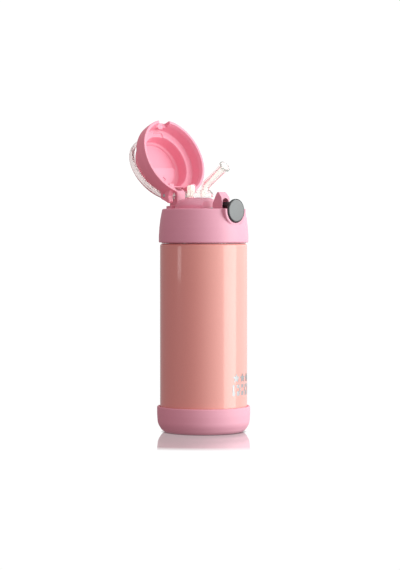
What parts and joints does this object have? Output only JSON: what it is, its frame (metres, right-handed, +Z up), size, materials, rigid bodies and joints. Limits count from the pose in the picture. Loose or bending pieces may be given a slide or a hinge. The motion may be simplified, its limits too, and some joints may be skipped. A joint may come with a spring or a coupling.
{
  "type": "baby bottle",
  "caption": "Insulated straw bottle for a small child with a screw-on collar, push-button flip lid, soft folding spout and clear carry loop.",
  "frame": {"origin": "centre of the flat foot, on the surface that the bottle stands on", "axes": "+Z up along the bottle's axis, -Y towards the latch button, +X along the lid's hinge pin"},
  "size_m": [0.0694, 0.0975, 0.2333],
  "materials": {
    "soft_pink": "matte soft silicone",
    "coral_paint": "glossy",
    "steel": "satin",
    "silver_print": "satin",
    "white_silicone": "matte",
    "pink_plastic": "satin",
    "clear_silicone": "translucent, satin",
    "clear_plastic": "clear gloss",
    "grey_plastic": "satin",
    "dark_plastic": "satin"
  },
  "bodies": {
    "bottle": {"base_boot": "soft_pink", "outer_shell": "coral_paint", "base_plate": "steel", "vacuum_getter": "steel", "inner_flask": "steel", "front_emblem": "silver_print"},
    "gasket": {"neck_gasket": "white_silicone"},
    "collar": {"collar_shell": "pink_plastic", "thread_ring": "pink_plastic", "spout_seat": "pink_plastic", "spout_base": "clear_silicone", "vent_valve": "clear_silicone", "straw_ferrule": "clear_plastic", "straw": "clear_plastic", "spout_neck": "clear_silicone", "hinge_pin": "steel", "lid_spring": "steel"},
    "mouthpiece": {"mouthpiece": "clear_silicone"},
    "button": {"button_face": "grey_plastic", "button_rim": "dark_plastic", "button_stem": "dark_plastic", "latch_hook": "pink_plastic", "button_spring": "steel"},
    "lid": {"lid_shell": "pink_plastic", "lid_floor_disc": "pink_plastic"},
    "carry_loop": {"carry_loop": "clear_plastic"}
  },
  "joints": [
    {"name": "collar_lift", "type": "slide", "parent": "bottle", "child": "gasket", "axis": [0, 0, 1], "range_m": [0, 0.015]},
    {"name": "collar_turn", "type": "hinge", "parent": "gasket", "child": "collar", "pos_m": [0, 0, 0.163], "axis": [0, 0, 1], "range_deg": [0, 540]},
    {"name": "lid_hinge", "type": "hinge", "parent": "collar", "child": "lid", "pos_m": [0, 0.0282, 0.176], "axis": [1, 0, 0], "range_deg": [0, 112.6]},
    {"name": "loop_swing", "type": "hinge", "parent": "lid", "child": "carry_loop", "pos_m": [0, 0.0282, 0.176], "axis": [1, 0, 0], "range_deg": [-65, 10]},
    {"name": "spout_fold", "type": "hinge", "parent": "collar", "child": "mouthpiece", "pos_m": [0, 0.004, 0.197], "axis": [1, 0, 0], "range_deg": [0, 42], "deforming": ["spout_neck"]},
    {"name": "button_press", "type": "slide", "parent": "collar", "child": "button", "axis": [0, 1, 0], "range_m": [0, 0.001], "stiffness_N_per_m": 300, "deforming": ["button_spring"]}
  ],
  "couplings": [
    {"joint": "collar_lift", "follows": "collar_turn", "m_per_rad": 0.0015915},
    {"joint": "spout_fold", "follows": "lid_hinge", "ratio": 0.373}
  ]
}
